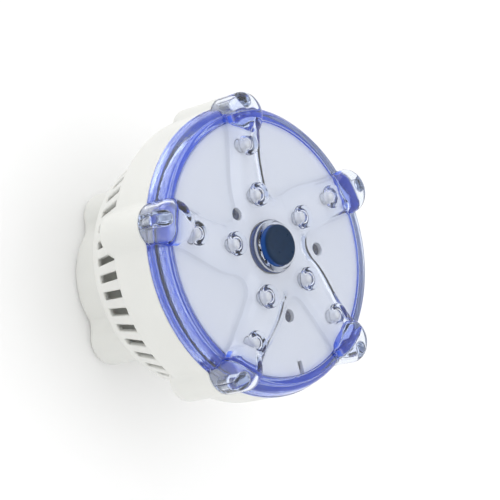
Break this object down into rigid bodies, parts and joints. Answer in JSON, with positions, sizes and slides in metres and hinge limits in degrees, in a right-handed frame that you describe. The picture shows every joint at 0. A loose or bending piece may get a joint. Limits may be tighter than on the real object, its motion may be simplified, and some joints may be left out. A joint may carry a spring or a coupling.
{
  "type": "floating chlorine dispenser",
  "caption": "Pool dispenser with a clear blue lit head on lobed screw posts, a slotted tablet drum and a lobed screw cap.",
  "frame": {"origin": "centre of the flat end face of the screw cap, which the dispenser stands on", "axes": "+Z along the dispenser's axis, from the screw cap to the lit face; -Y towards the slot in the reflector's edge"},
  "size_m": [0.1148, 0.1161, 0.0867],
  "materials": {
    "clear_blue": "clear blue polycarbonate, polished",
    "seal_rubber": "matte",
    "clear_silicone": "milky silicone",
    "steel": "satin",
    "button_blue": "deep blue translucent plastic, satin",
    "spring_steel": "bright wire",
    "black_plastic": "matte",
    "reflector_white": "smooth white",
    "led_lens": "clear epoxy",
    "circuit_board": "white solder mask",
    "tray_plastic": "moulded",
    "battery_wrap": "printed wrap without print",
    "red_insulation": "soft PVC",
    "white_plastic": "fine satin ABS, slightly warm white"
  },
  "bodies": {
    "head": {"front_cover": "clear_blue", "cover_gasket": "clear_silicone", "cover_screws": "steel", "button_seal": "clear_silicone", "button_spring": "spring_steel", "tact_switch": "black_plastic", "reflector_plate": "reflector_white", "reflector_screws": "steel", "leds": "led_lens", "led_board": "circuit_board", "board_chips": "black_plastic", "battery_tray": "tray_plastic", "tray_screws": "steel", "batteries": "battery_wrap", "battery_springs": "spring_steel", "battery_contacts": "spring_steel", "battery_lead_red": "red_insulation", "battery_lead_black": "black_plastic", "main_housing": "white_plastic", "slotted_drum": "white_plastic", "drum_screws": "steel"},
    "button": {"button_cap": "button_blue"},
    "gasket": {"cap_gasket": "seal_rubber"},
    "cap": {"rear_cap": "white_plastic"}
  },
  "joints": [
    {"name": "button_press", "type": "slide", "parent": "head", "child": "button", "axis": [0, 0, -1], "range_m": [0, 0.0012], "stiffness_N_per_m": 900, "springref_m": -0.0015, "deforming": ["button_spring"]},
    {"name": "cap_travel", "type": "slide", "parent": "head", "child": "gasket", "axis": [0, 0, -1], "range_m": [0, 0.008]},
    {"name": "cap_turn", "type": "hinge", "parent": "gasket", "child": "cap", "pos_m": [0, 0, 0.015], "axis": [0, 0, -1], "range_deg": [0, 720]}
  ],
  "couplings": [
    {"joint": "cap_travel", "follows": "cap_turn", "m_per_rad": 0.00063662}
  ]
}
